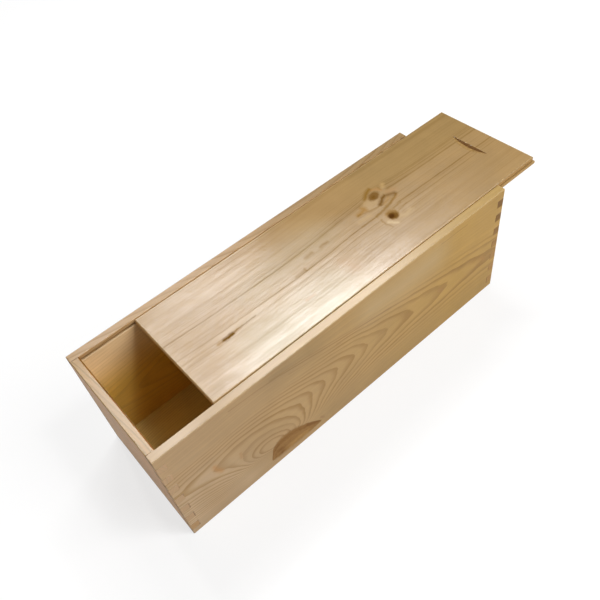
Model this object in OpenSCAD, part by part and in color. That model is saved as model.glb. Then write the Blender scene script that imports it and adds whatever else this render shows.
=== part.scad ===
// Wine box of finger-jointed pine boards, with a lid that slides in grooves.
// Lengths are in millimetres. X runs along the box, the way the lid opens,
// Y from the front board to the back board, and Z up from what the box
// stands on. The origin is the middle of the box's footprint.

/* [Box] */
// Length of the box, along the way the lid slides
box_l = 350; // [280:5:420]
// Width of the box, over its front and back boards
box_w = 118; // [95:1:160]
// Height of the box
box_h = 118; // [95:1:160]
// Thickness of the front and back boards
side_t = 7.5; // [6:0.5:12]
// Thickness of the two end boards
end_t = 7.5; // [6:0.5:12]
// Flat that sanding leaves along the outer edges
eased = 0.5; // [0.2:0.1:1]

/* [Finger joints] */
// Height of one finger
finger_h = 7.8; // [5:0.1:12]
// Height of the lowest finger, which is the front and back boards' own
foot_h = 7.2; // [6.8:0.1:12]
// Glue line between two neighbouring fingers
glue_gap = 0.1; // [0.05:0.05:0.3]

/* [Bottom panel] */
// Thickness of the bottom panel
panel_t = 3.2; // [2:0.1:3.5]
// Height of the panel's underside above the box's bottom edges
panel_z = 3; // [2:0.1:3.3]
// Depth of the groove that holds the panel in each board
panel_groove_d = 3; // [2:0.5:4]
// Room left at the panel's edges for the wood to swell
swell_gap = 0.3; // [0.1:0.1:0.5]
// Height of the panel's groove above the panel
panel_slack = 0.1; // [0.05:0.05:0.2]

/* [Lid] */
// Thickness of the lid
lid_t = 5.5; // [4.5:0.1:7]
// Thickness of the tongue along each long edge of the lid
tongue_t = 2.4; // [2:0.1:3]
// Depth of the groove that each tongue runs in
lid_groove_d = 2.1; // [1.8:0.1:4]
// Flat along the lower lip of each groove, which the sliding lid rubs
lip_flat = 0.5; // [0.2:0.1:0.8]
// Gap at each side of the lid, between the rims
rim_gap = 0.6; // [0.3:0.1:1]
// Gap between a tongue's edge and the back of its groove
tongue_gap = 0.4; // [0.2:0.1:0.8]
// Height of the lid's groove above the tongue
tongue_slack = 0.3; // [0.1:0.1:0.5]
// Gap between the shut lid and the closed end board
shut_gap = 0.3; // [0.2:0.1:1]
// Gap between the lid and the open end board that it passes over
sill_gap = 0.3; // [0.2:0.1:1]
// How far the lid stands open
lid_open = 47.5; // [0:0.5:250]

/* [Thumb pull] */
// Length of the crescent, across the lid
pull_l = 40; // [20:1:50]
// Width of the crescent at its middle
pull_w = 7; // [4:0.5:8]
// Slope of the crescent's floor, and lean of its straight wall
pull_tilt = 25; // [15:1:30]
// Distance from the lid's open end to the crescent's straight wall
pull_in = 21.3; // [15:0.1:40]

/* [Hidden] */
$fn = 96;

// How far a cut runs past the wood
past = 1;

// Clear space between the boards
inner_l = box_l - 2 * end_t;
inner_w = box_w - 2 * side_t;

// The lid's underside, which is also the floor of its grooves
lid_z = box_h - lid_t;

// Wood kept between the highest end finger and the lid's groove
groove_seat = 2;

// Fingers on each end board, and the underside of the one numbered i
finger_room = box_h - foot_h - lid_t - groove_seat;
finger_n = floor((finger_room + finger_h) / (2 * finger_h));
function finger_z(i) = foot_h + 2 * i * finger_h;

// The lid fills the box from the closed end board to the open end
lid_l = box_l - end_t - shut_gap;
lid_w = inner_w - 2 * rim_gap;
tongues_w = inner_w + 2 * (lid_groove_d - tongue_gap);
lid_x = -box_l / 2 + end_t + shut_gap + lid_open;

// The pull is the trace of a large tilted disc whose face is the wall
pull_d = pull_w * sin(2 * pull_tilt) / 2;
pull_sag = pull_d / cos(pull_tilt);
pull_r = (pow(pull_l / 2, 2) + pow(pull_sag, 2)) / (2 * pull_sag);

pine = [0.80, 0.66, 0.46];
pine_end = [0.74, 0.59, 0.40];
pine_lid = [0.85, 0.73, 0.55];
pine_floor = [0.70, 0.55, 0.37];

// A rectangle with its four corners cut off by the sanded flat
module eased_rectangle(length, width) {
    polygon([
        [eased, 0], [length - eased, 0], [length, eased], [length, width - eased],
        [length - eased, width], [eased, width], [0, width - eased], [0, eased]
    ]);
}

// The whole box as one sanded block, which trims every board's outer edges
module sanded_block() {
    intersection() {
        translate([-box_l / 2, -box_w / 2, 0])
            linear_extrude(box_h) eased_rectangle(box_l, box_w);
        translate([-box_l / 2, box_w / 2, 0]) rotate([90, 0, 0])
            linear_extrude(box_w) eased_rectangle(box_l, box_h);
        translate([-box_l / 2, -box_w / 2, 0]) rotate([90, 0, 90])
            linear_extrude(box_l) eased_rectangle(box_w, box_h);
    }
}

// Sockets at both ends of a side board, for the fingers of the end boards
module finger_sockets() {
    for (end = [0, 1])
        mirror([end, 0, 0]) for (i = [0 : finger_n - 1])
            translate([inner_l / 2, -box_w / 2 - past, finger_z(i) - glue_gap / 2])
                cube([end_t + past, side_t + 2 * past, finger_h + glue_gap]);
}

// The bottom panel's groove, as one block that is cut from all four boards
module panel_groove() {
    groove_l = inner_l + 2 * panel_groove_d;
    groove_w = inner_w + 2 * panel_groove_d;
    translate([-groove_l / 2, -groove_w / 2, panel_z])
        cube([groove_l, groove_w, panel_t + panel_slack]);
}

// The groove of one side board, from the closed end board out of the open end
module lid_groove() {
    translate([-inner_l / 2, -inner_w / 2 - lid_groove_d, lid_z])
        cube([inner_l + end_t + past, lid_groove_d + past, tongue_t + tongue_slack]);
}

// A cut along +X that takes an inner edge off by a flat, with the wood towards
// -Y, and that starts a little above the edge
module rim_easing(length, flat, above) {
    rotate([90, 0, 90]) linear_extrude(length)
        polygon([[past, -flat - past], [past, above], [-flat - above, above]]);
}

// The front board; the back board is its mirror image
module side_board() {
    difference() {
        intersection() {
            translate([-box_l / 2, -box_w / 2, 0]) cube([box_l, side_t, box_h]);
            sanded_block();
        }
        finger_sockets();
        lid_groove();
        panel_groove();
        translate([-inner_l / 2, -inner_w / 2, box_h])
            rim_easing(inner_l + end_t + past, eased, past);
        translate([-inner_l / 2, -inner_w / 2, lid_z])
            rim_easing(inner_l + end_t + past, lip_flat, tongue_slack);
    }
}

// The end board of the open end, up to the height top
module end_board(top) {
    difference() {
        intersection() {
            translate([inner_l / 2, 0, 0]) union() {
                translate([0, -inner_w / 2, 0]) cube([end_t, inner_w, top]);
                for (i = [0 : finger_n - 1])
                    translate([0, -box_w / 2, finger_z(i) + glue_gap / 2])
                        cube([end_t, box_w, finger_h - glue_gap]);
            }
            sanded_block();
        }
        panel_groove();
        translate([inner_l / 2, -inner_w / 2, top]) rotate([0, 0, 90])
            mirror([0, 1, 0]) rim_easing(inner_w, eased, past);
    }
}

module front_board() {
    color(pine) side_board();
}

module back_board() {
    color(pine) mirror([0, 1, 0]) side_board();
}

module closed_end_board() {
    color(pine_end) mirror([1, 0, 0]) end_board(box_h);
}

module open_end_board() {
    color(pine_end) end_board(lid_z - sill_gap);
}

// The panel rests on the lower side of its groove
module bottom_panel() {
    panel_l = inner_l + 2 * (panel_groove_d - swell_gap);
    panel_w = inner_w + 2 * (panel_groove_d - swell_gap);
    color(pine_floor) translate([-panel_l / 2, -panel_w / 2, panel_z])
        cube([panel_l, panel_w, panel_t]);
}

// Section across the lid: a board with a tongue at the foot of each side
module lid_section() {
    polygon([
        [-tongues_w / 2, 0], [tongues_w / 2, 0], [tongues_w / 2, tongue_t],
        [lid_w / 2, tongue_t], [lid_w / 2, lid_t - eased], [lid_w / 2 - eased, lid_t],
        [eased - lid_w / 2, lid_t], [-lid_w / 2, lid_t - eased], [-lid_w / 2, tongue_t],
        [-tongues_w / 2, tongue_t]
    ]);
}

// The disc that cuts the crescent, with its face at the straight wall
module thumb_pull() {
    translate([lid_l - pull_in, 0, lid_t]) rotate([0, pull_tilt, 0])
        translate([0, 0, pull_r - pull_sag]) rotate([0, -90, 0])
            cylinder(r = pull_r, h = 2 * pull_w);
}

// The lid runs on the floor of its grooves, level with the rims
module sliding_lid() {
    color(pine_lid) translate([lid_x, 0, lid_z]) difference() {
        intersection() {
            rotate([90, 0, 90]) linear_extrude(lid_l) lid_section();
            translate([0, tongues_w / 2, 0]) rotate([90, 0, 0])
                linear_extrude(tongues_w) eased_rectangle(lid_l, lid_t);
        }
        thumb_pull();
    }
}

front_board();
back_board();
closed_end_board();
open_end_board();
bottom_panel();
sliding_lid();
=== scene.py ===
# %% [markdown]
# # A finger-jointed wine box in bare pine
#
# This lesson dresses a box that the CAD model has already worked out: four boards held by
# finger joints, a thin bottom panel, and a lid that slides in grooves. The shapes are settled,
# so most of the work here is the wood itself: growth rings that arch along a flat-sawn board,
# knots with the grain swerving round them, fine fibres, darker end grain, and a satin light
# across the sanded lid.
#
# Lengths are in metres, apart from the wood's figure, which is worked out in millimetres. X runs
# along the box, the way the lid opens, Y from the front board to the back board, and Z up from
# what the box stands on.

# %% Load the CAD model
import bpy
import bmesh
import numpy as np
from math import pi, radians
from mathutils import Matrix, Quaternion, Vector


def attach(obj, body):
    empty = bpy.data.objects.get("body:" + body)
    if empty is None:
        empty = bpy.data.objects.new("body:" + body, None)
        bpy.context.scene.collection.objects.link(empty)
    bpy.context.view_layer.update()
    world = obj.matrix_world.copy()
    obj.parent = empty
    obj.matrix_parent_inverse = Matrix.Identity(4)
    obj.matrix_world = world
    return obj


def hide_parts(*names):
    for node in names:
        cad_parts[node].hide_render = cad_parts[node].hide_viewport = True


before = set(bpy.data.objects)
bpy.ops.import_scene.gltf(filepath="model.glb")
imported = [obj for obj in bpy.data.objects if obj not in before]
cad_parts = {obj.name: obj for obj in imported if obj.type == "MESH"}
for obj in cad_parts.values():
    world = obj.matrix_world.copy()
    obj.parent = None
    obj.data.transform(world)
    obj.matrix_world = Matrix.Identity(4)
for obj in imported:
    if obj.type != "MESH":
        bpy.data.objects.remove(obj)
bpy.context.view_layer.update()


def measured(board):
    """The lowest and the highest corner of a CAD board, in metres."""
    corners = np.array([point.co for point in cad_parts[board].data.vertices])
    return [[round(float(v), 6) for v in corner] for corner in (corners.min(axis=0), corners.max(axis=0))]


front_low, front_high = measured("front_board")
lid_low, lid_high = measured("sliding_lid")
half_length, half_width, box_height = front_high[0], -front_low[1], front_high[2]
board_thickness = front_high[1] - front_low[1]
inner_length, inner_width = half_length - board_thickness, half_width - board_thickness
print("boards are", round(1000 * board_thickness, 2), "mm thick")

# %% [markdown]
# ## Where the camera stands
#
# The box is seen from above its front left corner, through a lens of 40 mm on a 36 mm sensor,
# and the camera is tipped a little to one side. Only three things are needed: a place, a
# direction to look in, and the tip.

# %% Camera
scene = bpy.context.scene
scene.view_settings.view_transform = "Standard"

camera_place = Vector((-0.19728, -0.29320, 0.49417))
camera_look = Vector((0.35764, 0.54139, -0.76091))
camera_tip = radians(-9.95)

lens = bpy.data.cameras.new("camera")
lens.lens = 40.0
lens.sensor_width = 36.0
camera = bpy.data.objects.new("camera", lens)
camera.location = camera_place
camera.rotation_mode = "QUATERNION"
camera.rotation_quaternion = camera_look.to_track_quat("-Z", "Y") @ Quaternion((0, 0, 1), camera_tip)
scene.collection.objects.link(camera)
scene.camera = camera
print("camera stands", round(camera_place.length, 3), "m from the middle of the footprint")

# %% [markdown]
# ## Light
#
# Soft boxes and a dim even sky light the box. A lamp's level says how bright a plain card that
# faces it looks: at 1.0 the card shows the colour it is painted. The watts then follow from
# the distance, because the light on a card falls with the distance squared.
#
# Five narrow strips hang behind the box and mirror in the wax of the lid. Where two of them
# mirror close together, near the lid's front edge, the wax shines most. The large window in
# front, to the right, lights the front board and reaches down into the box past the lid,
# whose shadow it leaves soft. A small steep lamp draws a strip of light on the bottom panel,
# and a weak lamp on the left keeps the closed end from going dull.

# %% Lamps and sky
def heading(turn, height):
    """The direction at turn degrees from +Y towards +X, and height degrees above the floor."""
    flat = np.cos(radians(height))
    return Vector((flat * np.sin(radians(turn)), flat * np.cos(radians(turn)), np.sin(radians(height))))


# All lamps but the sky shine at one point, inside the box and a little above its middle
lamp_target = Vector((0, 0, 0.08))


def soft_lamp(name, direction, distance, width, height, level, long_way=(0, 0, 1)):
    """A rectangular area lamp that shines at the target.

    direction runs from the box to the lamp. width and height are angles in degrees as the box
    sees them, and the height runs along long_way. The power in watts is
    level * pi^2 * distance^2, which lights a white card at the box to that level.
    """
    data = bpy.data.lights.new(name, "AREA")
    data.shape = "RECTANGLE"
    data.size = 2 * distance * np.tan(radians(width / 2))
    data.size_y = 2 * distance * np.tan(radians(height / 2))
    data.energy = level * pi ** 2 * distance ** 2
    back = direction.normalized()
    side = Vector(long_way).cross(back).normalized()
    lamp = bpy.data.objects.new(name, data)
    lamp.rotation_mode = "QUATERNION"
    lamp.rotation_quaternion = Matrix((side, back.cross(side), back)).transposed().to_quaternion()
    lamp.location = lamp_target + back * distance
    scene.collection.objects.link(lamp)
    print(name, round(data.energy, 1), "W")
    return lamp


for name, turn, rise, width, height, level in (
        ("strip_upright", 0.3, 55.8, 3.1, 15.5, 0.17), ("strip_high", 25.4, 59.1, 9.0, 3.1, 0.12),
        ("strip_low", 19.1, 47.6, 13.4, 3.2, 0.07), ("strip_right", 55.7, 52.8, 13.0, 3.0, 0.16),
        ("strip_broad", 47.7, 54.0, 20.9, 4.8, 0.22)):
    soft_lamp(name, heading(turn, rise), 1.8, width, height, level)
soft_lamp("front_window", Vector((0.62, -1.0, 1.0)), distance=1.7, width=30, height=44, level=0.76)
soft_lamp("steep_lamp", Vector((0.28, -0.42, 1.0)), distance=1.7, width=7, height=8, level=0.22)
soft_lamp("left_fill", Vector((-1.0, -0.25, 0.45)), distance=1.6, width=40, height=30, level=0.22)

sky = bpy.data.worlds.new("sky")
sky.use_nodes = True
sky.node_tree.nodes["Background"].inputs["Color"].default_value = (1, 1, 1, 1)
sky.node_tree.nodes["Background"].inputs["Strength"].default_value = 0.06
scene.world = sky

# %% [markdown]
# ## Small helpers for wiring shader nodes
#
# A wood shader is a long sum, and it reads best as one. So what leaves a node is wrapped in a
# small class, on which the usual signs for sums and products make Math nodes.

# %% Node helpers
def add_node(tree, kind, **settings):
    """One new shader node of that kind, with its settings filled in."""
    made = tree.nodes.new("ShaderNode" + kind)
    for name, value in settings.items():
        setattr(made, name, value)
    return made


def fed_node(tree, kind, output, sources, **settings):
    """One new shader node with its inputs fed, by name or number, and the signal it gives."""
    made = add_node(tree, kind, **settings)
    for name, source in sources.items():
        feed(made.inputs[name], source)
    return Signal(made.outputs[output])


def calc(operation, *sources, clamp=False):
    """One Math node: the sources go to its inputs in order."""
    return fed_node(tree_of(sources), "Math", 0, dict(enumerate(sources)), operation=operation,
                    use_clamp=clamp)


def scaled(value, factor, plus):
    """value * factor + plus, as one node."""
    return calc("MULTIPLY_ADD", value, factor, plus)


def sign(operation, turned=False):
    """A Python sign as one Math node. A turned one is for a plain number on its left."""
    def work(signal, other):
        return calc(operation, other, signal) if turned else calc(operation, signal, other)
    return work


class Signal:
    """What leaves a node: a value, a colour or a vector."""
    __add__, __radd__ = sign("ADD"), sign("ADD", turned=True)
    __sub__, __rsub__ = sign("SUBTRACT"), sign("SUBTRACT", turned=True)
    __mul__, __rmul__ = sign("MULTIPLY"), sign("MULTIPLY", turned=True)
    __truediv__, __pow__ = sign("DIVIDE"), sign("POWER")

    def __init__(self, socket):
        self.socket = socket
        self.tree = socket.id_data

    def __abs__(self):
        return calc("ABSOLUTE", self)


def tree_of(sources):
    """The node tree that the first signal among the sources is in."""
    return next(source.tree for source in sources if isinstance(source, Signal))


def feed(socket, source):
    """Links a signal to the socket, or writes a plain value on it."""
    if isinstance(source, Signal):
        source.tree.links.new(source.socket, socket)
    else:
        socket.default_value = source

# %% [markdown]
# ## Slopes, mixes, noise and curves
#
# Most of these helpers are one node that names what it works out, and they take numbers and
# signals alike. A curve is three nodes: its input is first brought to the range from 0 to 1,
# and what it gives is spread out again.

# %% Slopes, mixes, noise and curves
def total(*sources):
    """The sum of all the sources."""
    result = sources[0]
    for source in sources[1:]:
        result = result + source
    return result


def fade(value, low, high, smooth=True):
    """0 where the value is at low, 1 at high, and an eased slope between them."""
    kind = "SMOOTHSTEP" if smooth else "LINEAR"
    return fed_node(value.tree, "MapRange", "Result",
                    {"Value": value, "From Min": low, "From Max": high},
                    interpolation_type=kind, clamp=not smooth)


def spread(value, low, high):
    """A value from 0 to 1 becomes one from low to high."""
    return fed_node(value.tree, "MapRange", "Result", {"Value": value, "To Min": low, "To Max": high},
                    clamp=False)


def tint(amount, under, over, mode="MIX"):
    """Lays the colour over on the colour under, by amount."""
    return fed_node(tree_of((amount, under, over)), "Mix", 2, {0: amount, 6: under, 7: over},
                    data_type="RGBA", blend_type=mode)


def place(x, y, z=0.0):
    """Three values joined to one position."""
    return fed_node(tree_of((x, y, z)), "CombineXYZ", 0, {0: x, 1: y, 2: z})


def grey(value):
    """One value as a grey."""
    return fed_node(value.tree, "CombineColor", 0, {0: value, 1: value, 2: value})


def cloud(position, scale=1.0, detail=2.0, rough=0.5, stir=0.0):
    """Soft noise from 0 to 1, mostly between 0.3 and 0.7."""
    return fed_node(position.tree, "TexNoise", "Fac", {
        "Vector": position, "Scale": scale, "Detail": detail, "Roughness": rough, "Distortion": stir})


def bent_rule(value, points):
    """A smooth curve through (value, result) points, as a Float Curve node."""
    points = np.array(points, float)
    low, high = points.min(axis=0), points.max(axis=0) + 1e-6
    made = add_node(value.tree, "FloatCurve")
    knots = made.mapping.curves[0].points
    unit = (points - low) / (high - low)
    knots[0].location = unit[0]
    knots[1].location = unit[-1]
    for place_on_curve in unit[1:-1]:
        knots.new(*place_on_curve)
    made.mapping.update()
    feed(made.inputs["Value"], fade(value, low[0], high[0], smooth=False))
    return spread(Signal(made.outputs[0]), low[1], high[1])


def card(red, green, blue):
    """A colour picked from a paint card, 0 to 255, as the linear values that shaders use."""
    share = np.array([red, green, blue]) / 255.0
    linear = np.where(share <= 0.04045, share / 12.92, ((share + 0.055) / 1.055) ** 2.4)
    return (*[float(v) for v in linear], 1.0)


def vector(operation, *sources):
    """One Vector Math node: the sources go to the inputs that the operation has."""
    made = add_node(tree_of(sources), "VectorMath", operation=operation)
    for socket, source in zip([s for s in made.inputs if s.enabled], sources):
        feed(socket, source)
    return Signal(next(output for output in made.outputs if output.enabled))


def coordinates(tree, kind="Object"):
    """Where a point lies, in metres, or with the kind Normal the way its face looks."""
    return Signal(add_node(tree, "TexCoord").outputs[kind])


def axes(position):
    """The x, y and z of a position."""
    parts = add_node(position.tree, "SeparateXYZ")
    feed(parts.inputs[0], position)
    return list(signals(parts).values())

# %% [markdown]
# ## Groups
#
# What several boards need is built once as a node group and then placed in each board's
# material with that board's own values.

# %% Making and placing a group
def new_group(name, inputs, outputs):
    """An empty shader node group, its inputs by name as signals, and its outputs' sockets.

    inputs gives each socket its starting value: one number, three for a vector or four for a
    colour. Of the outputs, one named Colour is a colour and the others are values.
    """
    tree = bpy.data.node_groups.new(name, "ShaderNodeTree")
    kinds = {1: "NodeSocketFloat", 3: "NodeSocketVector", 4: "NodeSocketColor"}
    for label, start in inputs.items():
        socket = tree.interface.new_socket(label, in_out="INPUT", socket_type=kinds[np.size(start)])
        socket.default_value = start
    for label in outputs:
        kind = kinds[4 if label == "Colour" else 1]
        tree.interface.new_socket(label, in_out="OUTPUT", socket_type=kind)
    return tree, signals(tree.nodes.new("NodeGroupInput")), tree.nodes.new("NodeGroupOutput").inputs


def signals(made):
    """What leaves a node, by name."""
    return {socket.name: Signal(socket) for socket in made.outputs if socket.name}


def use(tree, group, **sources):
    """Places a group in a tree. Its inputs are named in small letters with _ for a space."""
    made = add_node(tree, "Group", node_tree=group)
    for socket in made.inputs:
        label = socket.name.lower().replace(" ", "_")
        if label in sources:
            feed(socket, sources[label])
    return signals(made)

# %% [markdown]
# ## The floor
#
# A pale sweep of paper reaches far beyond the picture. To the camera it is half a plain glow
# and half lit paper, so it looks nearly white and still keeps the soft shadow that the box
# stands in. Every other ray sees plain paper, which bounces light up onto the boards.

# %% Floor
def pale_floor():
    """A wide flat square just below the box's bottom edges, with a paper material."""
    reach = 3.0
    mesh = bpy.data.meshes.new("floor")
    corners = np.array([[-1, -1, 0], [1, -1, 0], [1, 1, 0], [-1, 1, 0]]) * reach
    mesh.from_pydata(corners.tolist(), [], [(0, 1, 2, 3)])
    made = bpy.data.objects.new("floor", mesh)
    scene.collection.objects.link(made)
    return made


floor = pale_floor()

paper = bpy.data.materials.new("pale_paper")
paper.use_nodes = True
plain_tone, seen_tone = (0.38, 0.38, 0.38, 1), (0.92, 0.92, 0.92, 1)
paper_tree = paper.node_tree
paper_tree.nodes.clear()
lit = add_node(paper_tree, "BsdfDiffuse")
glow = add_node(paper_tree, "Emission")
seen = signals(add_node(paper_tree, "LightPath"))
looked_at = calc("MAXIMUM", seen["Is Camera Ray"], seen["Is Glossy Ray"])
looked_at = calc("MAXIMUM", looked_at, seen["Is Transmission Ray"])
feed(lit.inputs["Color"], tint(looked_at, plain_tone, seen_tone))
glow_share = looked_at * 0.72
mixed = add_node(paper_tree, "MixShader")
feed(mixed.inputs[0], glow_share)
paper_tree.links.new(lit.outputs[0], mixed.inputs[1])
paper_tree.links.new(glow.outputs[0], mixed.inputs[2])
result = add_node(paper_tree, "OutputMaterial")
paper_tree.links.new(mixed.outputs[0], result.inputs[0])
floor.data.materials.append(paper)
print("floor reaches", max(floor.dimensions), "m")

# %% [markdown]
# ## The six pieces
#
# Each board of the box is cut square and sanded by hand, so its edges are softly rounded and
# a fine dark line shows where two boards meet. The CAD boards already have the right shape,
# but they are loose triangles, on which a rounded edge can't be made. So each board is copied,
# the copy's points are merged, its flat faces are joined back to single faces, and a narrow
# bevel of three steps goes along every outward edge. The large faces stay flat shaded, so
# that they mirror the lamps as a planed board does, and only the narrow bevels are smooth.

# %% Copy a board and round its edges
def sanded_copy(node, name, body, rounding):
    """The CAD board as a clean closed mesh with rounded edges, riding on its body.

    rounding is the width of the bevel in metres.
    """
    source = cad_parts[node]
    shape = bmesh.new()
    shape.from_mesh(source.data)
    bmesh.ops.remove_doubles(shape, verts=shape.verts, dist=1e-6)
    bmesh.ops.dissolve_limit(
        shape, angle_limit=radians(0.4), verts=shape.verts, edges=shape.edges)
    sharp = [e for e in shape.edges if e.is_convex and e.calc_face_angle(0) > radians(20)]
    made = bmesh.ops.bevel(shape, geom=sharp, offset=rounding, segments=3, profile=0.5,
                           affect="EDGES", clamp_overlap=True)
    for face in shape.faces:
        face.smooth = False
    for face in made["faces"]:
        face.smooth = True
    mesh = bpy.data.meshes.new(name)
    shape.to_mesh(mesh)
    shape.free()
    mesh.materials.clear()
    board = bpy.data.objects.new(name, mesh)
    scene.collection.objects.link(board)
    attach(board, body)
    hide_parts(node)
    print(name, len(mesh.vertices), "points,", len(mesh.polygons), "faces")
    return board


front_board = sanded_copy("front_board", "front_board_pine", "box", 0.00022)
back_board = sanded_copy("back_board", "back_board_pine", "box", 0.00022)
closed_end = sanded_copy("closed_end_board", "closed_end_pine", "box", 0.00018)
open_end = sanded_copy("open_end_board", "open_end_pine", "box", 0.00018)
panel = sanded_copy("bottom_panel", "bottom_panel_pine", "box", 0.00020)
lid = sanded_copy("sliding_lid", "sliding_lid_pine", "lid", 0.00022)

# %% [markdown]
# ## Where a point lies in its board
#
# The wood's figure is worked out in the board's own directions: along the grain, across the
# board's face, and down into its thickness, all in millimetres. Object coordinates give the
# same place on every piece, because each piece's object sits at the origin.

# %% Directions in a board
# From the middle of the box to its ends and sides, and its height, in millimetres
to_end, to_side, to_top = 1000 * half_length, 1000 * half_width, 1000 * box_height


def board_directions(tree, *directions):
    """Values in millimetres, each for an (axis, factor, start): factor * coordinate * 1000
    + start, so factor -1 turns a direction round."""
    spot = axes(coordinates(tree))
    return [scaled(spot[axis], 1000.0 * factor, start) for axis, factor, start in directions]


def upward(tree):
    """1 on faces that look up, such as the rims, and 0 on upright ones."""
    return fade(axes(coordinates(tree, "Normal"))[2], 0.3, 0.9)


def painted_top_shade(body, tone):
    """Painted shade: the colour, multiplied by the tone on the faces that look up, so that they come out
    darker.
    """
    return tint(upward(body.tree), body, tone, "MULTIPLY")


def facing(tree, axis):
    """0 on faces along the grain and 1 on faces that cut across it."""
    return fade(abs(axes(coordinates(tree, "Normal"))[axis]), 0.55, 0.85)

# %% [markdown]
# ## Growth rings
#
# A tree's rings are cylinders round its pith. A flat-sawn board cuts them nearly lengthwise,
# so where the trunk tapers or bends the saw runs out of one ring into the next, and the rings
# show as long nested arches. The ring that a point lies in is its distance from the pith,
# divided by the width of a ring. The pith runs outside the board, at a height and a distance
# that change slowly along it, so both are drawn as curves.
#
# Round a branch the rings swell outwards. That swelling is taken off the distance, as a smooth
# hill round the knot, which closes the arches into loops on its near side.

# %% Ring number of an arched figure
def arched_figure(name, away, height, ring_width, swelling=None, wander=0.30):
    """A group: along, across and depth in mm give the number of the ring, with a fraction.

    ring = (sqrt((away + depth)^2 + (across - height)^2) - hill) / ring width + wander,
    where away and height are smooth curves of along. The hill is
    rise * (1 + (u / length)^2 + (v / width)^2) ^ -fall in directions u, v tilted by the knot.
    """
    tree, given, out = new_group(name, {"Along": 0.0, "Across": 0.0, "Depth": 0.0}, ["Ring"])
    along, across, depth = given.values()
    side = bent_rule(along, away) + depth
    lift = across - bent_rule(along, height)
    square = scaled(side, side, lift * lift)
    distance = calc("SQRT", square)
    if swelling:
        from_x = along - swelling["at"][0]
        from_y = across - swelling["at"][1]
        cosine, sine = np.cos(swelling["tilt"]), np.sin(swelling["tilt"])
        u = scaled(from_x, cosine, from_y * sine)
        v = scaled(from_x, -sine, from_y * cosine)
        length = spread(calc("GREATER_THAN", u, 0.0), *swelling["length"])
        width = spread(calc("GREATER_THAN", v, 0.0), *swelling["width"])
        u = abs(u / length) ** 2.0
        v = abs(v / width) ** 2.0
        hill = total(u, v, 1.0) ** -swelling["fall"]
        distance = scaled(hill, -swelling["rise"], distance)
    ring = distance / ring_width
    slow = cloud(place(along, across, depth), scale=0.022, detail=2.0)
    waver = (slow - 0.5) * (2.0 * wander)
    feed(out["Ring"], ring + waver)
    return tree


front_figure = arched_figure(
    "front board figure",
    away=[(0, 20.4), (35, 20.6), (70, 21.1), (100, 22.8), (130, 26), (165, 30.4),
          (205, 36.3), (250, 39.8), (300, 42.8), (350, 44.9)],
    height=[(0, 62.1), (35, 63), (70, 65.7), (100, 64.2), (130, 61), (165, 61.2),
            (205, 59.6), (250, 56), (300, 51.8), (350, 47)],
    ring_width=2.87,
    swelling={"at": (85.4, 26.1), "tilt": -0.16, "length": (57.6, 68.3), "width": (23.8, 32.4),
              "rise": 37.5, "fall": 2.24})
back_figure = arched_figure(
    "back board figure",
    away=[(0, 34), (90, 27), (180, 19), (260, 24), (350, 37)],
    height=[(0, 44), (90, 50), (180, 58), (260, 61), (350, 55)],
    ring_width=2.6)
end_figure = arched_figure(
    "end board figure",
    away=[(0, 30), (59, 26), (118, 31)],
    height=[(0, 92), (59, 84), (118, 80)],
    ring_width=2.4)
panel_figure = arched_figure(
    "panel figure",
    away=[(0, 70), (175, 62), (350, 74)],
    height=[(0, -30), (175, -24), (350, -32)],
    ring_width=1.9)

# %% [markdown]
# ## From ring number to light and dark wood
#
# Each year starts with pale soft earlywood that slowly turns to a thin line of hard orange
# latewood, and then stops sharply where the next spring begins. So one ring is a slope and not
# a sine wave. Some years are stronger than others: a random number for each ring changes how
# dark its line is.

# %% Latewood bands
def ring_bands():
    """A group: the ring number gives the share of latewood, and a tone for each year."""
    sockets = {"Ring": 0.0, "Late share": 0.4, "Evenness": 0.5}
    tree, given, out = new_group("latewood bands", sockets, ["Late", "Year"])
    part = calc("FRACT", given["Ring"])
    year = calc("FLOOR", given["Ring"])
    lot = add_node(tree, "TexWhiteNoise", noise_dimensions="1D")
    feed(lot.inputs["W"], year)
    luck = Signal(lot.outputs["Value"])
    start = 1.0 - given["Late share"]
    slope = fade(part, start, 0.93)
    stop = fade(part, 1.0, 0.95)
    strength = spread(luck, given["Evenness"], 1.0)
    feed(out["Late"], slope * stop * strength)
    feed(out["Year"], luck)
    return tree


latewood = ring_bands()

# %% [markdown]
# ## Fibres
#
# Pine is made of fibres a few millimetres long and finer than a hair, all lying along the
# trunk. Seen from near they are short streaks, and the saw and the sander leave faint scratches
# the same way. Noise that is stretched along the grain gives both: once long and soft, more for
# the tone, and once short and fine, more for the relief.

# %% Fibre streaks
def fibre_streaks():
    """A group: along, across and depth in mm give soft streaks and fine hairs, both 0 to 1."""
    sockets = {"Along": 0.0, "Across": 0.0, "Depth": 0.0}
    tree, given, out = new_group("fibres", sockets, ["Streaks", "Hairs"])
    long_way = given["Along"] / 45.0
    soft = cloud(place(long_way, given["Across"], given["Depth"]), 0.55, 4.0, 0.6, 0.2)
    short_way = given["Along"] / 16.0
    fine = cloud(place(short_way, given["Across"], given["Depth"]), 3.4, 3.0, 0.65)
    feed(out["Streaks"], fade(soft, 0.25, 0.75, smooth=False))
    feed(out["Hairs"], fade(fine, 0.25, 0.75, smooth=False))
    return tree


fibres = fibre_streaks()
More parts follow.
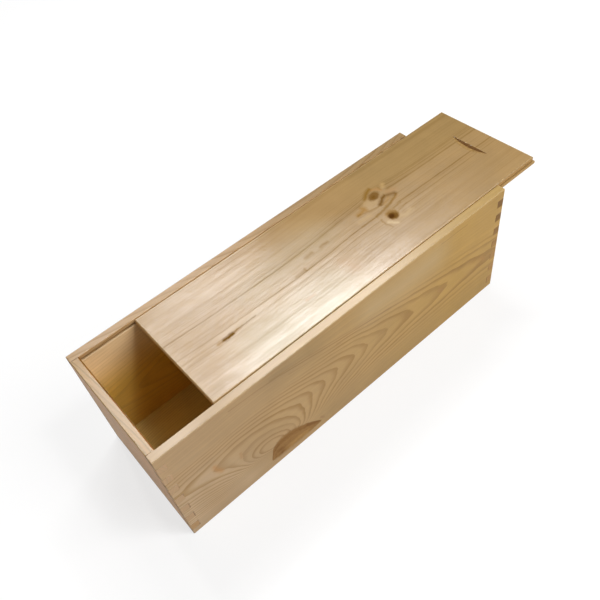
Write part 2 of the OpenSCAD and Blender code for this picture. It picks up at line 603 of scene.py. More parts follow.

# %% [markdown]
# ## Worn edges
#
# Where hands lift the box, its outer edges are rubbed: a little duller, here more and there
# less, and a little paler, partly as a painted highlight where the rounded edges catch the
# light. The distance to the nearest outer edge follows from the box's own size. Near an edge
# two of the three distances to the outer faces are small, so the smallest sum of two of them
# tells how near it is.

# %% Edge wear
def edge_wear():
    """A group: nearness to the outer edges of a block, broken up by noise, 0 to 1."""
    middle = box_height / 2
    sockets = {"Half size": (half_length, half_width, middle), "Middle": (0.0, 0.0, middle), "Reach": 1.6}
    tree, given, out = new_group("edge wear", sockets, ["Wear"])
    spot = coordinates(tree)
    folded = vector("ABSOLUTE", vector("SUBTRACT", spot, given["Middle"]))
    x, y, z = axes(vector("SUBTRACT", given["Half size"], folded))
    nearest = calc("MINIMUM", x + y, y + z)
    nearest = calc("MINIMUM", nearest, x + z)
    broken = cloud(spot, 180.0, 3.0, 0.6)
    reach = given["Reach"] * spread(broken, 0.0002, 0.0018)
    feed(out["Wear"], fade(nearest, reach, 0.0))
    return tree


wear = edge_wear()

# %% [markdown]
# ## Inside the box
#
# The light that reaches the inner faces has mostly bounced off other golden wood, so their
# colour is painted for it: paler near the mouth, where the light falls in, and deeper in colour
# the lower they lie, as painted shade and bounce light. Masks for all of this follow from the
# place alone: inside the four boards or in the lid's grooves, how deep below the mouth, and on
# the lip that the sliding lid rubs pale.

# %% Inner faces
def inner_faces():
    """A group: Inside is 1 between the boards, Groove in the lid's grooves, Deep grows from 0
    near the mouth to 1 half way down, and Lip is 1 on the rubbed edge of each groove."""
    groove_depth, groove_height = 0.0021, 0.0027
    panel_level, mouth_level = 0.0045, lid_low[2] + 0.0005
    tree, _, out = new_group("inner faces", {}, ["Inside", "Groove", "Deep", "Lip"])
    x, y, z = axes(coordinates(tree))
    x = abs(x)
    y = abs(y)
    between = fade(x, inner_length + 0.0003, inner_length + 0.0001)
    between = between * fade(y, inner_width + 0.0003, inner_width + 0.0001)
    between = between * fade(z, mouth_level + 0.0010, mouth_level)
    between = between * fade(z, panel_level, panel_level + 0.0005)
    from_middle = abs(z - (lid_low[2] + groove_height / 2))
    groove_end = inner_width + groove_depth
    groove = fade(y, groove_end + 0.0003, groove_end + 0.0002) * fade(from_middle, 0.0016, 0.0014)
    groove = groove * fade(y, inner_width + 0.0005, inner_width + 0.0006)
    feed(out["Inside"], between)
    feed(out["Groove"], groove)
    feed(out["Deep"], fade(z, 0.104, 0.058))
    from_lip = abs(z - (lid_low[2] - 0.0004))
    lip = fade(from_lip, 0.0010, 0.0005) * fade(y, inner_width + 0.0009, inner_width + 0.0006)
    feed(out["Lip"], lip * fade(y, inner_width - 0.0005, inner_width - 0.0002))
    return tree


inner = inner_faces()

# %% [markdown]
# ## Glue lines and painted gap shade
#
# Where the fingers of two boards meet, a fine dark line shows: partly glue that has soaked into
# the cut ends, and partly painted shade in the hairline gaps between the boards. It follows the
# saw cuts: upright at the root of each finger, level between two of them, and round the corner
# of the rim. Noise breaks it up, since some joints close better, and it is clearest near the foot
# and at the rim.

# %% Glue lines and painted gap shade
def glue_and_gap_shade_lines():
    """A group: the lines round the box's fingers, 0 to 1.

    Fingers repeat with a pitch of two finger heights from the foot up. m is the larger of a
    point's distances from the box's end and from its side, so where m is the thickness of a
    board lies the root line on any outer face. The end boards' fingers are cut there on the
    sides, and the side boards' own on the ends.
    """
    # In mm: a finger's height, where the lowest cut is, and the level above the highest cut
    finger, foot, seat = 7.8, 7.2, 109.0
    pitch, board = 2 * finger, 1000 * board_thickness
    tree, given, out = new_group("glue lines", {"Strength": 0.6}, ["Line"])
    spot = coordinates(tree)
    x, y, z = axes(spot)
    from_end = scaled(abs(x), -1000.0, to_end)
    from_side = scaled(abs(y), -1000.0, to_side)
    height = z * 1000.0
    step = calc("FLOORED_MODULO", height - foot, pitch)
    below_seat = calc("LESS_THAN", height, seat)
    on_finger = calc("LESS_THAN", step, finger) * below_seat
    m = calc("MAXIMUM", from_end, from_side)
    on_side = calc("GREATER_THAN", from_end, from_side)
    turned = scaled(on_side, 2.0, -1.0)
    cut = on_finger * turned + (1.0 - on_side)
    root = fade(abs(m - board), 0.60, 0.20)
    root = root * cut
    edge = calc("MINIMUM", step, abs(step - finger))
    edge = calc("MINIMUM", edge, pitch - step)
    level = fade(edge, 0.45, 0.10) * calc("LESS_THAN", m, board)
    level = level * below_seat
    line = calc("MAXIMUM", root, level * 0.6)
    broken = fade(cloud(spot, 130.0, 2.0, 0.6), 0.40, 0.60)
    open_joint = calc("MAXIMUM", fade(height, 88.0, 46.0), fade(height, 110.0, 112.0))
    line = line * (broken * open_joint)
    feed(out["Line"], line * given["Strength"])
    return tree


glue = glue_and_gap_shade_lines()

# %% [markdown]
# ## Pine
#
# One group turns all of this into colour, gloss and relief, and every board places it with its
# own values. The order follows the wood: pale earlywood that drifts towards amber, the painted
# light and shade inside the box, latewood lines, streaks and patches, the tone of the end grain,
# and last the rubbed edges, paler partly as a painted highlight, and the glue lines, partly
# painted shade in the gaps.

# %% Pine group
def pine_group():
    """A group: latewood, fibres, end grain and wear give colour, roughness and height."""
    tree, given, out = new_group("pine", {
        "Late": 0.0, "Year": 0.5, "Streaks": 0.5, "Hairs": 0.5, "End": 0.0, "Wear": 0.0, "Warmth": 0.5,
        "Pale": card(194, 161, 120), "Amber": card(190, 150, 78), "Late pale": card(160, 121, 66),
        "Late amber": card(150, 108, 42), "End tone": card(150, 112, 72), "Line strength": 0.9,
        "Gloss": 0.42, "Inside": 0.0, "Deep": 0.0, "Groove": 0.0, "Lip": 0.0, "Glue": 0.0,
        "Mouth tone": card(232, 200, 154), "Deep tone": card(228, 186, 92),
        "Groove tone": card(192, 156, 107)}, ["Colour", "Roughness", "Height"])
    early = tint(given["Warmth"], given["Pale"], given["Amber"])
    # Painted light inside the box: paler near the mouth, where the light falls in, and deeper lower down,
    # for the bounce light and shade there
    inside_painted_light = tint(given["Deep"], given["Mouth tone"], given["Deep tone"])
    early = tint(given["Inside"], early, inside_painted_light)
    early = tint(given["Groove"], early, given["Groove tone"])
    late = tint(given["Warmth"], given["Late pale"], given["Late amber"])
    plain = spread(given["Inside"], 1.0, 0.3)
    amount = given["Late"] * (given["Line strength"] * plain)
    body = tint(amount, early, late)
    shade = spread(given["Streaks"], 0.93, 1.06)
    shade = shade * spread(given["Hairs"], 0.965, 1.03)
    shade = shade * spread(given["Year"], 0.975, 1.025)
    patches = fade(cloud(coordinates(tree), 26.0, 3.0, 0.55), 0.3, 0.7)
    shade = shade * spread(patches, 0.955, 1.045)
    body = tint(1.0, body, grey(shade), "MULTIPLY")
    body = tint(given["End"], body, tint(0.75, body, given["End tone"]))
    # Paler outer edges: partly rubbed wood, partly a painted highlight where the rounded edges catch the
    # light
    rubbed = given["Wear"] * 0.25
    body = tint(rubbed, body, card(222, 196, 156))
    body = tint(given["Lip"] * 0.6, body, card(236, 206, 164))
    # Glue lines, partly painted shade in the gaps between the boards
    body = tint(given["Glue"], body, card(104, 70, 38))
    feed(out["Colour"], body)
    gloss = total(spread(given["Hairs"], -0.04, 0.04), given["Gloss"],
                  given["Late"] * -0.04,
                  given["End"] * 0.22,
                  given["Wear"] * 0.06)
    feed(out["Roughness"], gloss)
    relief = total(given["Late"] * 0.35,
                   given["Hairs"] * 0.45,
                   given["Streaks"] * 0.20,
                   given["Wear"] * -0.3)
    feed(out["Height"], relief)
    return tree


pine = pine_group()

# %% [markdown]
# ## Finishing a board
#
# A board's material is built from its directions, its rings, the fibres and the pine group, and
# ends in one Principled shader with a fine bump.

# %% Board material
def begin_material(name):
    """An empty node material, its tree and its Principled shader."""
    material = bpy.data.materials.new(name)
    material.use_nodes = True
    return material, material.node_tree, material.node_tree.nodes["Principled BSDF"]


def finish_material(shader, colour, roughness, height, shine=0.5, wax=None,
                    wax_rough=0.24, wax_index=1.5):
    """Wires colour, gloss and a fine bump to the shader.

    shine is the shader's specular level, lower for bare wood than for rubbed wood, and wax is
    a mask for the thin coat on the faces that hands have polished. A higher wax_index makes
    the coat mirror more.
    """
    feed(shader.inputs["Base Color"], colour)
    feed(shader.inputs["Roughness"], roughness)
    bump = add_node(shader.id_data, "Bump")
    bump.inputs["Strength"].default_value = 0.6
    bump.inputs["Distance"].default_value = 0.00012
    feed(bump.inputs["Height"], height)
    feed(shader.inputs["Normal"], Signal(bump.outputs[0]))
    shader.inputs["IOR"].default_value = 1.5
    shader.inputs["Specular IOR Level"].default_value = shine
    if wax is not None:
        feed(shader.inputs["Coat Weight"], wax)
        shader.inputs["Coat Roughness"].default_value = wax_rough
        shader.inputs["Coat IOR"].default_value = wax_index


def warmth_along(along, across, start, end, drift=0.25):
    """Pale at start and amber at end, in mm along the board, with a slow drift."""
    slope = fade(along, start, end, smooth=False)
    slow = cloud(place(along, across), scale=0.012, detail=1.0)
    moved = scaled(slow - 0.5, drift, slope)
    return calc("ADD", moved, 0.0, clamp=True)


def fibres_and_masks(tree, along, across, depth):
    """The fibres and the masks of the inner faces, by the names of the pine group's inputs."""
    found = {**use(tree, fibres, along=along, across=across, depth=depth), **use(tree, inner)}
    return {name.lower(): signal for name, signal in found.items()}


def box_pine(tree, end_axis, along, across, warm, **values):
    """Places the pine group on a board of the box. Its end grain faces end_axis, and warm
    holds the places in mm along it where the wood is pale and where it is amber."""
    return use(tree, pine, end=facing(tree, end_axis), wear=use(tree, wear)["Wear"],
               glue=use(tree, glue)["Line"], warmth=warmth_along(along, across, *warm), **values)

# %% [markdown]
# ## Grain round a knot
#
# The grain parts round a small knot as water does round a pile. For a round pile of radius a,
# a line of flow at distance r is pushed aside by its own offset times (a / r)^2.

# %% Knot in straight grain
def parted_grain():
    """A group: how far a knot pushes the grain aside, and how far out a point is from it.

    u and v are the distances along and across the knot's own tilted axes, each divided by
    its half size, reach = sqrt(u^2 + v^2), and push = offset / max(reach, 1)^2.
    """
    sockets = {"Along": 0.0, "Across": 0.0, "Centre along": 0.0, "Centre across": 0.0,
               "Half length": 8.0, "Half width": 6.0, "Tilt": 0.0}
    tree, given, out = new_group("grain round a knot", sockets, ["Push", "Reach"])
    x = given["Along"] - given["Centre along"]
    y = given["Across"] - given["Centre across"]
    cosine = calc("COSINE", given["Tilt"])
    sine = calc("SINE", given["Tilt"])
    u = x * cosine + y * sine
    v = y * cosine - x * sine
    u = u / given["Half length"]
    v = v / given["Half width"]
    reach = calc("SQRT", scaled(u, u, v * v))
    held = calc("MAXIMUM", reach, 1.0)
    feed(out["Push"], y / (held * held))
    feed(out["Reach"], reach)
    return tree


knot_flow = parted_grain()

# %% [markdown]
# ## Marks in the wood
#
# Stains, dark creases and pockets of resin are strokes of a soft brush, joined end to end into
# trails. A little noise on the place can make their edges uneven.

# %% Strokes and trails
def stroke_group():
    """A group: a soft stroke from one point to another, 0 to 1, as a stain or a dark line.

    The distance is to the nearest point of the straight piece between them.
    """
    sockets = {"Along": 0.0, "Across": 0.0, "From": (0, 0, 0), "To": (1, 0, 0),
               "Half width": 1.0, "Softness": 1.0}
    tree, given, out = new_group("stroke", sockets, ["Stroke"])
    spot = place(given["Along"], given["Across"])
    offset = vector("SUBTRACT", spot, given["From"])
    line = vector("SUBTRACT", given["To"], given["From"])
    share = vector("DOT_PRODUCT", offset, line) / vector("DOT_PRODUCT", line, line)
    share = calc("MAXIMUM", calc("MINIMUM", share, 1.0), 0.0)
    apart = vector("DISTANCE", offset, vector("SCALE", line, share))
    outside = given["Half width"] + given["Softness"]
    inside = given["Half width"] - given["Softness"]
    feed(out["Stroke"], fade(apart, outside, inside))
    return tree


stroke = stroke_group()


def trail(along, across, points, half_width, softness):
    """Strokes from each point to the next, joined to one mask. Lengths are in millimetres."""
    whole = None
    for start, end in zip(points[:-1], points[1:]):
        part = use(along.tree, stroke, along=along, across=across, half_width=half_width,
                   softness=softness, **{"from": (*start, 0.0), "to": (*end, 0.0)})["Stroke"]
        whole = part if whole is None else calc("MAXIMUM", whole, part)
    return whole


def wobbled(value, along, across, shift, reach=0.8):
    """The value moved to and fro by noise, so that a mark's edge is not ruled."""
    lump = cloud(place(along, across, shift), 0.30, 3.0, 0.6)
    return scaled(lump - 0.5, 4.0 * reach, value)

# %% [markdown]
# ## The knot in the front board
#
# The front board has one big oval knot low down on the left. The branch was cut at a slant, so
# the knot looks like a fin: a flat foot, a steep left side and a long slope to the right. It is
# darker along the bark, in its heart and at its tip, and lighter in the middle of its foot.

# %% Knot in the front board
def fin_knot(along, across, body, roughness):
    """Lays the brown fin over the wood. Its top is a curve over the board's length, and the
    share of the way from its foot to that top tells the bark line from the heart."""
    top = bent_rule(along, [(79, 4), (81.5, 17), (84.5, 26), (90, 30.2), (97.5, 31.2), (106, 29.4),
                            (115, 24.4), (122.5, 19.2), (129, 13.6), (133, 10), (138, 5)])
    foot = bent_rule(along, [(79, 12), (87, 8), (108, 6.8), (126, 7.5), (138, 10)])
    rise = top - foot
    share = (across - foot) / rise
    rough_edge = cloud(place(along, across), 0.35, 4.0, 0.6)
    share = scaled(rough_edge - 0.5, 0.22, share)
    inside = fade(share, 1.08, 0.90) * fade(share, -0.14, 0.12)
    inside = inside * fade(rise, 0.5, 3.5)
    bark = fade(share, 0.45, 0.85) * 0.14
    light = trail(along, across, [(101, 10.5), (109, 12), (116, 9.5)], 2.5, 5.0)
    heart = trail(along, across, [(90.2, 9), (91.4, 13.5), (89.6, 16.5)], 1.0, 4.6)
    left = trail(along, across, [(84, 12), (85.2, 20), (88.5, 25.5)], 0.8, 3.4)
    tip = trail(along, across, [(119, 20), (125, 15), (130.5, 10.5)], 1.2, 3.2)
    dark = scaled(light, -0.42, 0.50)
    dark = dark + bark
    dark = scaled(heart, 0.42, dark)
    dark = scaled(left, 0.18, dark)
    dark = scaled(tip, 0.30, dark)
    swirl = scaled(cloud(place(along, across), 0.10, 2.0), 9.0, share * 22.0)
    dark = scaled(calc("SINE", swirl), 0.07, dark)
    mottle = cloud(place(along, across), 0.5, 3.0, 0.6) - 0.5
    dark = calc("MULTIPLY_ADD", mottle, 0.45, dark, clamp=True)
    knot = tint(dark, card(190, 146, 84), card(116, 68, 12))
    halo = fade(share, 1.7, 1.0) * fade(rise, 2.0, 12.0)
    body = tint(halo * 0.12, body, card(206, 164, 120))
    body = tint(inside * 0.95, body, knot)
    return body, scaled(inside, 0.15, roughness)

# %% [markdown]
# ## Marks on the front board
#
# The rings are clearest in the middle of the board and fade towards its top and its foot. Over
# them lie a few single lines, the orange ends of some arches, and broad patches of paler and
# of darker wood. The foot is a little darker still, as painted shade.

# %% Marks on the front board
def figure_strength(along, across):
    """How clearly the rings show: faint in a plain strip along the top and near the foot."""
    top = bent_rule(along, [(0, 91), (100, 89), (150, 93), (190, 94), (225, 89), (300, 80), (350, 74)])
    upper = fade(across - top, 2.0, -8.0)
    start = bent_rule(along, [(0, 12), (70, 16), (150, 24), (350, 24)])
    lower = fade(across - start, -4.0, 9.0)
    slow = cloud(place(along / 3.0, across), 0.09, 2.0)
    clear = upper * lower * spread(slow, 0.55, 1.35)
    return calc("MULTIPLY_ADD", clear, 0.86, 0.14, clamp=True)


def front_marks(along, across, depth, body):
    """The front board's colour with all the marks laid over it."""
    outer = fade(depth, 1.0, 0.4)

    def stain(points, half_width, softness, amount, colour, mode="MIX"):
        """Lays one trail of a tone on the outer face, or multiplies the wood by it."""
        nonlocal body
        mark = trail(along, across, points, half_width, softness)
        body = tint(mark * outer * amount, body, colour, mode)

    # Two long fine lines that run down across the top, two shorter ones and one further right
    brown = card(144, 102, 54)
    stain([(60, 110.6), (84, 109.3), (104, 106.6), (122, 102.2), (141, 98), (160, 93.8), (178, 90.4),
           (200, 86.2), (216, 83.4)], 0.35, 0.75, 0.60, brown)
    stain([(96, 109), (125, 104.3), (150, 98.8), (175, 93.6), (196, 89.6)], 0.30, 0.70, 0.45, brown)
    stain([(158, 91.4), (172, 88.9), (186, 86.8)], 0.30, 0.65, 0.42, brown)
    stain([(112, 99.8), (136, 94.6), (162, 89)], 0.25, 0.65, 0.36, brown)
    stain([(273, 111.4), (283, 110.6), (290, 110.9), (304, 109.9)], 0.30, 0.80, 0.55, brown)
    # Orange ends of the arches, where the saw ran along one ring
    stain([(35.5, 63), (36.5, 57), (39.5, 51)], 1.4, 2.8, 0.72, card(188, 132, 72))
    stain([(57.5, 54), (57, 47)], 0.6, 2.0, 0.55, card(182, 130, 74))
    stain([(233, 61.5), (238, 58)], 1.0, 3.0, 0.40, card(162, 126, 60))
    stain([(274, 55), (278, 51)], 1.0, 3.2, 0.42, card(174, 124, 76))
    stain([(328, 53), (333, 47)], 1.0, 3.4, 0.50, card(180, 128, 64))
    stain([(133, 14.5), (135.5, 11.5)], 0.8, 1.6, 0.50, card(154, 104, 62))
    # Paler wood low on the left and high on the right, and darker wood high between them
    stain([(6, 16), (10, 54), (28, 58), (44, 38), (58, 14)], 8.0, 22.0, 0.74,
          (1.30, 1.41, 1.66, 1.0), "MULTIPLY")
    stain([(196, 100), (226, 98), (264, 100)], 6.0, 28.0, 0.66, card(206, 181, 141))
    stain([(102, 110), (132, 107)], 9.0, 24.0, 0.90, (0.70, 0.72, 0.72, 1.0), "MULTIPLY")
    # Painted shade: the foot, where no rings show, is made a little darker towards the bottom
    foot = fade(across, 36.0, 14.0) * fade(along, 110.0, 150.0)
    return tint(1.0, body, grey(spread(foot, 1.0, 0.92)), "MULTIPLY")

# %% [markdown]
# ## The front board
#
# The front board is flat-sawn, with arches along its whole length. A slow ripple on the ring
# number keeps them from looking ruled.

# %% Front board
def front_pine():
    """The front board's material."""
    first_ring = 0.39
    material, tree, shader = begin_material("front_pine")
    along, across, depth = board_directions(tree, (0, 1, to_end), (2, 1, 0.0), (1, 1, to_side))
    number = use(tree, front_figure, along=along, across=across, depth=depth)["Ring"]
    number = number + first_ring
    ripple = cloud(place(along / 2.2, across, depth), 0.13, 1.5, 0.5)
    number = scaled(ripple - 0.5, 0.36, number)
    bands = use(tree, latewood, ring=number, late_share=0.62, evenness=0.45)
    masks = fibres_and_masks(tree, along, across, depth)
    clear = bands["Late"] * figure_strength(along, across)
    made = box_pine(tree, 0, along, across, (20.0, 300.0), **masks, late=clear, year=bands["Year"],
                    line_strength=0.83)
    body = front_marks(along, across, depth, made["Colour"])
    colour, gloss = fin_knot(along, across, body, made["Roughness"])
    # Painted shade for the rim, a little stronger towards the far end
    rim = tint(fade(along, 120.0, 320.0), (0.79, 0.81, 0.83, 1.0), (0.71, 0.75, 0.82, 1.0))
    colour = painted_top_shade(colour, rim)
    finish_material(shader, colour, gloss, made["Height"], shine=0.15,
                    wax=upward(tree) * 0.70)
    return material


front_board.data.materials.append(front_pine())
print("front board:", len(front_board.data.materials[0].node_tree.nodes), "nodes")

# %% [markdown]
# ## The other boards of the box
#
# These boards have no knots, and one function makes the material of each from its own figure,
# directions and tones. The painted shade on a board's top edge and its wax can change from its
# near end to its far one, and its end grain can have another tone near the foot.

# %% Plain boards
def plain_pine(name, figure, directions, end_axis, warm, shine=0.25, lines=0.8, low_end=None,
               top=((0.93, 0.93, 0.93, 1.0), (0.93, 0.93, 0.93, 1.0)), wax=(0.62, 0.62), **values):
    """The material of a board without knots.

    low_end is the end grain's tone near the foot, and the two heights in metres between which
    it turns into end_tone. top is the painted shade on the faces that look up, and wax their
    coat, each at the near and at the far end of the board.
    """
    material, tree, shader = begin_material(name)
    along, across, depth = board_directions(tree, *directions)
    number = use(tree, figure, along=along, across=across, depth=depth)["Ring"]
    bands = use(tree, latewood, ring=number, late_share=0.5, evenness=0.4)
    masks = fibres_and_masks(tree, along, across, depth)
    if low_end:
        height = fade(axes(coordinates(tree))[2], *low_end[1:])
        values["end_tone"] = tint(height, low_end[0], values["end_tone"])
    made = box_pine(tree, end_axis, along, across, warm, **masks, late=bands["Late"],
                    year=bands["Year"], line_strength=lines, **values)
    far = fade(along, 90.0, 300.0)
    coat = upward(tree) * spread(far, *wax)
    # Painted shade: the faces that look up are darkened by the top tone
    finish_material(shader, painted_top_shade(made["Colour"], tint(far, *top)),
                    made["Roughness"], made["Height"], shine=shine, wax=coat)
    return material


back_board.data.materials.append(plain_pine(
    "back_pine", back_figure, ((0, 1, to_end), (2, 1, 0.0), (1, -1, to_side)), 0, (-60.0, 260.0),
    pale=card(194, 159, 117), amber=card(182, 144, 94), wax=(0.50, 0.18),
    top=((0.75, 0.75, 0.74, 1.0), (0.58, 0.59, 0.52, 1.0))))
closed_end.data.materials.append(plain_pine(
    "closed_end_wood", end_figure, ((1, 1, to_side), (2, 1, 0.0), (0, 1, to_end)), 1, (-300.0, 400.0),
    shine=0.1, top=((0.58, 0.66, 0.67, 1.0), (0.58, 0.66, 0.67, 1.0)), wax=(0.97, 0.97),
    end_tone=card(201, 172, 140), low_end=(card(198, 163, 122), 0.012, 0.026),
    pale=card(208, 154, 92), amber=card(202, 148, 84)))
open_end.data.materials.append(plain_pine(
    "open_end_wood", end_figure, ((1, 1, to_side), (2, -1, 140.0), (0, -1, to_end)), 1, (-400.0, 200.0),
    end_tone=card(106, 66, 16), low_end=(card(176, 132, 78), 0.036, 0.098)))
# The bottom panel's deep tone is painted pale, for the light that falls on it
panel.data.materials.append(plain_pine(
    "panel_wood", panel_figure, ((0, 1, to_end), (1, 1, to_side), (2, 1, 0.0)), 0, (-100.0, 400.0),
    wax=(0.2, 0.2), deep_tone=card(251, 224, 146),
    pale=card(217, 192, 156), amber=card(204, 176, 133)))

# %% [markdown]
# ## Ring lines along the lid
#
# The lid is sawn so that its rings run straight along it. A dozen of them show as clear lines,
# each at its own place across the board, and noise fills in the finer ones. All are drawn
# over one bent distance across the board, which sways a little and parts round two knots.

# %% Ring lines along the lid
# Each line's place across the lid in mm, its width and its strength
strong_lines = (
    (70.3, 0.60, 0.52), (73.8, 0.4, 0.22), (75.6, 0.4, 0.16), (77.3, 0.5, 0.24), (79.2, 0.4, 0.20),
    (52.5, 0.6, 0.48), (46.8, 0.5, 0.32), (42.4, 0.4, 0.22), (60.8, 0.4, 0.18), (57.4, 0.4, 0.14),
    (28.5, 1.6, 0.16), (103.5, 1.8, 0.16))
# Two of them are swept aside between the knots, where a crease takes their place
lines_between_knots = (52.5, 46.8)


def lid_lines(tree, along, across, depth):
    """The share of latewood on the lid, 0 to 1."""
    upper = use(tree, knot_flow, along=along, across=across, centre_along=271.5, centre_across=71.0,
                half_length=13.0, half_width=7.0, tilt=0.35)
    lower = use(tree, knot_flow, along=along, across=across, centre_along=265.5, centre_across=45.8,
                half_length=8.0, half_width=6.0, tilt=0.0)
    bend = bent_rule(along, [(40, 1.6), (60, 1.2), (95, -0.3), (125, -0.9), (160, -1), (190, -0.2),
                             (222, 1.8), (240, 2.8), (256, 3), (285, 1.8), (335, 0.6), (400, -0.2)])
    line = across - bend
    line = scaled(upper["Push"], -0.5, line)
    line = scaled(lower["Push"], -0.3, line)
    shiver = cloud(place(along / 9.0, across / 3.0), 1.0)
    line = scaled(shiver - 0.5, 0.8, line)
    slow = along / 420.0
    wide = cloud(place(slow, line / 9.0, depth), 1.0, 1.0)
    rows = cloud(place(slow, line / 1.6, depth), 1.0, 3.0, 0.6)
    swept = fade(along, 252.0, 258.0) * fade(along, 283.0, 277.0)
    kept = 1.0 - swept
    # From zero up, one line after the other
    strong = line * 0.0
    for at, width, strength in strong_lines:
        gap = abs(line - at)
        row = fade(gap, width * 1.6, width * 0.2)
        row = row * kept if at in lines_between_knots else row
        strong = scaled(row, strength, strong)
    late = scaled(fade(rows, 0.50, 0.74), 0.34, strong)
    late = scaled(fade(wide, 0.35, 0.7), 0.14, late)
    uneven = cloud(place(along / 16.0, line / 4.0), 1.0)
    late = late * spread(uneven, 0.55, 1.45)
    middle = fade(along, 110.0, 150.0) * fade(along, 250.0, 215.0)
    late = late * spread(middle, 1.0, 1.6)
    near_upper = fade(upper["Reach"], 0.95, 1.35)
    near_lower = fade(lower["Reach"], 0.90, 1.30)
    late = calc("MULTIPLY", late, near_upper * near_lower, clamp=True)
    return late

# %% [markdown]
# ## Wax on the lid
#
# The lid's top is waxed. A ring line takes less wax than the wood beside it, so it shows dark
# in the shine. Wax also lies thinner along some fibres and in small patches, and hands have
# worn it off along the back of the lid's open half, which is darker there near its end.

# %% Wax on the lid
def lid_wax(tree, along, across, depth, late, threads):
    """Two masks: the coat of wax, and where the lid is darker, at the back near its open end."""
    pool = cloud(place(along / 2.4, across), 0.14, 3.0, 0.6)
    speck = cloud(place(along / 1.6, across, 7.0), 0.55, 2.0)
    wax = spread(threads["Streaks"], 0.72, 1.14) * spread(threads["Hairs"], 0.86, 1.10)
    wax = wax * spread(fade(pool, 0.3, 0.7), 0.82, 1.10)
    wax = wax * spread(fade(speck, 0.3, 0.7), 0.90, 1.08)
    wax = wax * scaled(late, -0.80, 1.0)
    wax = wax * (upward(tree) * 1.11)
    wax = wax * fade(depth, 0.6, 0.3)
    line_of_wear = across + spread(fade(along, 200.0, 255.0), -13.0, 0.0)
    worn = fade(along, 140.0, 225.0) * fade(line_of_wear, 62.0, 84.0)
    wax = wax * scaled(worn, -0.75, 1.0)
    shade = worn * fade(along, 235.0, 305.0)
    return wax, shade

# %% [markdown]
# ## Marks on the lid
#
# Two small knots sit side by side past the lid's middle, each a nest of stains and creases, and
# a pocket of resin lies near its inner end. The marks are laid in order from pale to dark. A
# bare mark takes the wax off too, so that it doesn't shine.

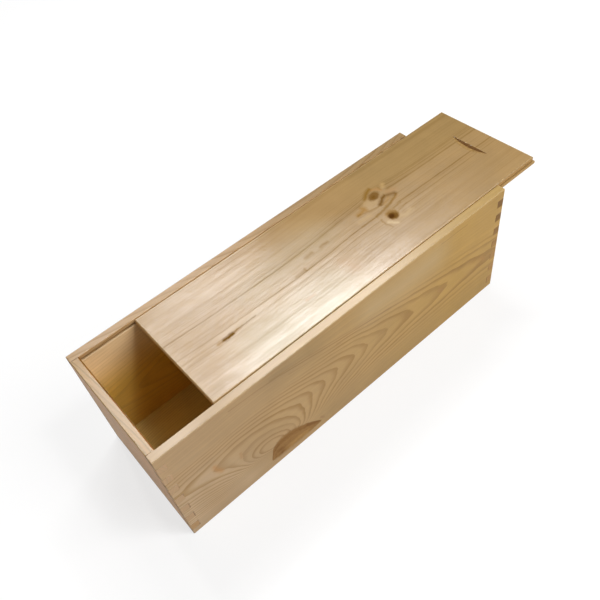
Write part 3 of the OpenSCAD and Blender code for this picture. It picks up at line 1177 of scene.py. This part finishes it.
# %% Marks on the lid
def lid_marks(tree, along, across, body, wax):
    """The lid's colour and its wax, with all the marks laid over them."""
    x = wobbled(along, along, across, 11.0)
    y = wobbled(across, x, across, 23.0, 0.6)

    def oval(at, half_length, half_width, tilt, outer, inner_reach):
        """A soft oval mask."""
        found = use(tree, knot_flow, along=x, across=y, centre_along=at[0], centre_across=at[1],
                    half_length=half_length, half_width=half_width, tilt=tilt)
        return fade(found["Reach"], outer, inner_reach)

    def layer(colour, bare, marks):
        """Lays one colour over the lid along all the marks, and takes a share of the wax off.

        Each mark is (amount, points, half width, softness), or (amount, mask) for an oval.
        """
        nonlocal body, wax
        whole = None
        for amount, *rest in marks:
            mask = rest[0] if len(rest) == 1 else trail(x, y, *rest)
            mask = mask * amount
            whole = mask if whole is None else calc("MAXIMUM", whole, mask)
        body = tint(whole, body, colour)
        if bare:
            wax = wax * scaled(whole, -bare, 1.0)

    # Painted highlight: the wood is painted paler and greyer along the front and in the middle, where the
    # shine lies, so that the shine looks whiter
    layer(card(160, 142, 105), 0.0, [
        (0.74, [(120, 16), (176, 18)], 26.0, 24.0),
        (0.36, [(140, 64), (205, 74)], 18.0, 18.0)])
    # Pale wood grown round the knots
    layer(card(172, 141, 90), 0.15, [
        (0.28, oval((264.6, 70.6), 9.5, 6.2, 0.30, 1.30, 0.50)),
        (0.75, [(285.4, 77), (287.4, 79.4)], 1.4, 2.4),
        (0.60, [(242, 60.2), (252, 59.6)], 1.4, 3.6)])
    layer(card(178, 150, 104), 0.0, [
        (0.95, [(258.4, 42.8), (260.2, 40), (262.6, 37.2)], 1.3, 1.6),
        (0.55, [(270.6, 40.4), (275, 39), (281, 40.6)], 1.8, 2.8)])
    # Pinkish wood
    layer(card(158, 115, 64), 0.30, [
        (0.45, [(283.5, 69.5), (290, 67)], 2.0, 3.2),
        (0.70, [(275.9, 81), (280.2, 78.4), (281.2, 75)], 1.1, 1.8),
        (0.40, [(278, 58.2), (286, 60.4)], 0.8, 1.6),
        (0.75, [(158, 29.8), (166, 29.5)], 0.6, 2.0),
        (0.55, [(203, 38), (205, 27)], 3.0, 9.0)])
    # Amber: the wedges beside the upper knot, the ring round the lower one, and beside the resin
    layer(card(144, 105, 42), 0.75, [
        (0.45, [(271, 60.8), (274.8, 62), (279.4, 64.2)], 1.6, 2.2),
        (0.95, [(247.4, 66.4), (251.6, 66.9), (255, 68.2)], 1.9, 2.8),
        (0.90, [(255, 70), (255.4, 66)], 1.7, 2.8),
        (0.55, oval((266.4, 47.4), 5.4, 6.2, 0.0, 1.40, 0.5)),
        (0.95, [(86.5, 44.8), (96, 45), (106.5, 45.6)], 0.8, 2.0)])
    # Brown creases, the ring line swept up between the knots, and a few faint marks
    layer(card(124, 90, 32), 0.85, [
        (1.00, [(264.1, 76.5), (268, 79.4), (271.4, 81.6), (275, 83)], 1.5, 2.2),
        (0.50, [(281.9, 79), (281.9, 75.6)], 0.4, 1.0),
        (1.00, [(256, 54.6), (265.2, 55.7), (271.4, 56.9), (276.5, 58.3), (281.5, 60),
                (286.4, 62.2)], 0.85, 1.6),
        (0.65, [(240, 54.7), (256, 54.6)], 0.50, 1.2),
        (0.70, [(246.2, 66.2), (256.3, 63.5), (264.7, 62), (267.4, 62.2)], 0.35, 1.1),
        (0.85, [(246, 66.1), (249, 66.3)], 0.5, 1.2),
        (0.75, [(256.5, 49.4), (255.2, 46), (254.9, 43.4), (255.6, 40), (257, 36.8)], 0.3, 1.1),
        (0.90, [(264, 50.6), (268, 50.8), (270.8, 49), (270.6, 45)], 0.9, 1.6),
        (0.75, [(270.8, 51), (275, 51.8), (281.5, 52.6)], 0.35, 1.1),
        (0.60, [(273, 46.2), (279.3, 47.4), (284, 48.2)], 0.30, 1.1),
        (0.45, [(168, 52.4), (176, 53.2)], 0.9, 2.2),
        (0.80, [(177.4, 52), (177.6, 54.6)], 0.6, 1.5),
        (0.75, [(186, 62.7), (193, 63.1)], 0.7, 2.4),
        (0.80, [(202, 63.1), (209, 63.2)], 0.7, 2.4)])
    layer(card(111, 79, 34), 1.0, [(0.94, oval((272.3, 73.8), 6.3, 4.4, 0.32, 1.30, 0.66))])
    # Dark: the crease under the upper knot, the spots in both hearts, and a pocket of resin
    layer(card(99, 65, 8), 1.0, [
        (0.98, [(268.6, 62.8), (271.4, 64.5), (275.9, 67), (278.6, 68)], 1.5, 2.1),
        (0.74, [(279.8, 67), (284, 65), (286.6, 63.8)], 1.9, 2.4),
        (0.45, [(267.6, 71.9), (270.2, 73.4)], 1.0, 2.2),
        (0.85, [(270, 72.8), (271.8, 73.4)], 0.9, 1.9),
        (0.90, oval((266.0, 45.5), 4.5, 4.6, 0.0, 1.24, 0.66)),
        (1.00, [(92.2, 44.9), (99.8, 45.1)], 1.3, 1.5),
        (0.70, [(101, 45.6), (112, 45.9), (122, 46)], 0.30, 0.9)])
    layer(card(74, 42, 4), 1.0, [(0.97, oval((264.9, 46), 2.9, 2.8, 0, 1.40, 0.40))])
    return body, wax

# %% [markdown]
# ## The lid's material
#
# The lid has no joint lines and no inner faces, so it places the pine group by itself. Its
# lines are stronger towards the open end, and its upright edges are painted paler than its
# top, as painted light: the top's colour is kept dark for the strong light that falls on it.

# %% Lid
def lid_pine():
    """The lid's material: straight rings, two knots, a resin pocket and wax."""
    rim_gap = 0.0006
    material, tree, shader = begin_material("lid_pine_wood")
    along, across, depth = board_directions(tree, (0, 1, to_end), (1, 1, to_side), (2, -1, to_top))
    late = lid_lines(tree, along, across, depth)
    threads = use(tree, fibres, along=along, across=across, depth=depth)
    middle = ((lid_high[0] + lid_low[0]) / 2, 0.0, box_height / 2)
    half_size = ((lid_high[0] - lid_low[0]) / 2, inner_width - rim_gap, box_height / 2)
    edge = use(tree, wear, half_size=half_size, middle=middle)["Wear"]
    dark_share = spread(fade(along, 205.0, 265.0), 0.62, 1.0)
    made = use(tree, pine, late=late * dark_share, year=0.5,
               streaks=threads["Streaks"], hairs=threads["Hairs"],
               end=facing(tree, 0), wear=edge, warmth=warmth_along(along, across, 60.0, 280.0),
               line_strength=0.95, pale=card(161, 129, 84), amber=card(153, 123, 77),
               late_pale=card(114, 84, 40), late_amber=card(116, 84, 34), gloss=0.5)
    # Painted light: the upright faces get less light than the top, so they are painted paler
    upright = fade(abs(axes(coordinates(tree, "Normal"))[2]), 0.35, 0.15)
    body = tint(upright * 0.8, made["Colour"], card(196, 158, 106))
    wax, shade = lid_wax(tree, along, across, depth, late, threads)
    body = tint(shade, body, (0.88, 0.90, 0.90, 1.0), "MULTIPLY")
    body, wax = lid_marks(tree, along, across, body, wax)
    finish_material(shader, body, made["Roughness"], made["Height"], shine=0.02,
                    wax=wax, wax_rough=0.22, wax_index=1.7)
    return material


lid.data.materials.append(lid_pine())
print("materials:", sorted(m.name for m in bpy.data.materials))
